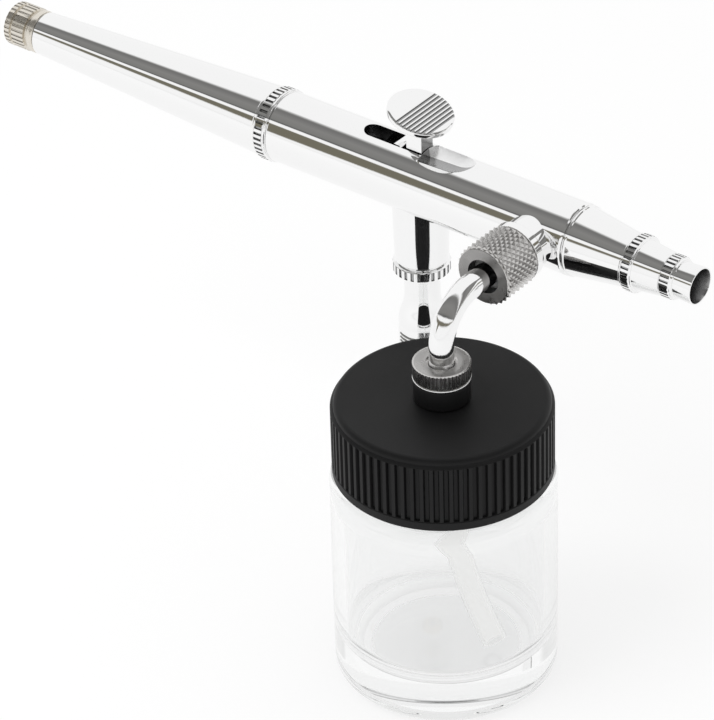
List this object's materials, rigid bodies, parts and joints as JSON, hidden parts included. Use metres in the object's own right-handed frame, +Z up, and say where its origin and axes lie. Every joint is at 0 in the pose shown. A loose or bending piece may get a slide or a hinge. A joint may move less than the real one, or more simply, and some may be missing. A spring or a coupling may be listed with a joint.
{
  "type": "airbrush gun",
  "caption": "Chrome dual-action airbrush with a tapered preset handle, thumb trigger, air valve and a glass paint jar hung on a swivelling side feed tube.",
  "frame": {"origin": "centre of the air inlet's lower end face", "axes": "+X along the gun towards the nozzle, +Z up the air valve towards the trigger, jar on the -Y side"},
  "size_m": [0.1396, 0.0523, 0.082],
  "materials": {
    "chrome": "bright chrome plate on brass",
    "nickel": "warm nickel plate, knurled",
    "knurled_steel": "satin knurled metal",
    "steel": "ground stainless steel",
    "brass": "turned brass",
    "ptfe": "white sealing plastic",
    "rubber": "black rubber",
    "black_plastic": "black moulded plastic with a fine matt grain",
    "clear_plastic": "translucent flexible tube",
    "glass": "clear moulded glass"
  },
  "bodies": {
    "gun": {"main_body": "chrome", "spray_head": "chrome", "head_seal": "ptfe", "fluid_nozzle": "brass", "nozzle_cap": "chrome", "needle_cap": "chrome", "needle_packing": "ptfe", "packing_screw": "brass", "spring_housing": "brass", "needle_spring": "steel", "handle": "chrome", "valve_body": "chrome", "valve_spring": "steel", "valve_guide_screw": "brass"},
    "valve_plunger": {"valve_plunger": "brass", "valve_seal": "rubber"},
    "trigger": {"trigger": "chrome"},
    "needle_train": {"needle": "steel", "needle_guide": "steel", "needle_chuck_nut": "brass", "lever_pin": "steel"},
    "aux_lever": {"aux_lever": "steel"},
    "preset_screw": {"preset_screw": "steel"},
    "preset_knob": {"preset_knob": "nickel"},
    "clamp_nut": {"clamp_nut": "knurled_steel"},
    "jar_arm": {"feed_tube": "chrome", "port_seal": "ptfe", "cap_nut": "knurled_steel", "cap_washer": "chrome", "feed_bush": "black_plastic", "cap_lock_nut": "black_plastic", "jar_cap": "black_plastic", "cap_gasket": "ptfe", "dip_tube": "clear_plastic"},
    "jar": {"jar": "glass"}
  },
  "joints": [
    {"name": "trigger_press", "type": "slide", "parent": "gun", "child": "valve_plunger", "axis": [0, 0, -1], "range_m": [0, 0.002], "stiffness_N_per_m": 900, "springref_m": -0.002, "deforming": ["valve_spring"]},
    {"name": "trigger_pull", "type": "hinge", "parent": "valve_plunger", "child": "trigger", "pos_m": [0, 0, 0.0265], "axis": [0, -1, 0], "range_deg": [0, 20.4]},
    {"name": "needle_slide", "type": "slide", "parent": "gun", "child": "needle_train", "axis": [-1, 0, 0], "range_m": [0, 0.003], "stiffness_N_per_m": 300, "springref_m": -0.0005, "deforming": ["needle_spring"]},
    {"name": "lever_tilt", "type": "hinge", "parent": "needle_train", "child": "aux_lever", "pos_m": [-0.0042, 0, 0.0321], "axis": [0, -1, 0], "range_deg": [0, 20.4]},
    {"name": "preset_travel", "type": "slide", "parent": "gun", "child": "preset_screw", "axis": [-1, 0, 0], "range_m": [0, 0.003]},
    {"name": "preset_turn", "type": "hinge", "parent": "preset_screw", "child": "preset_knob", "pos_m": [-0.082, 0, 0.034], "axis": [-1, 0, 0], "range_deg": [0, 2160.1]},
    {"name": "clamp_nut_turn", "type": "hinge", "parent": "gun", "child": "clamp_nut", "pos_m": [0.025, -0.013, 0.034], "axis": [0, -1, 0], "continuous": true},
    {"name": "jar_swivel", "type": "hinge", "parent": "gun", "child": "jar_arm", "pos_m": [0.025, -0.012, 0.034], "axis": [0, -1, 0], "range_deg": [-60, 60]},
    {"name": "jar_unscrew", "type": "hinge", "parent": "jar_arm", "child": "jar", "pos_m": [0.025, -0.0281, 0.0096], "axis": [0, 0, 1], "range_deg": [0, 360]}
  ],
  "couplings": [
    {"joint": "trigger_pull", "follows": "needle_slide", "rad_per_m": 116.36},
    {"joint": "lever_tilt", "follows": "needle_slide", "rad_per_m": 116.36},
    {"joint": "preset_turn", "follows": "preset_travel", "rad_per_m": 12566}
  ]
}
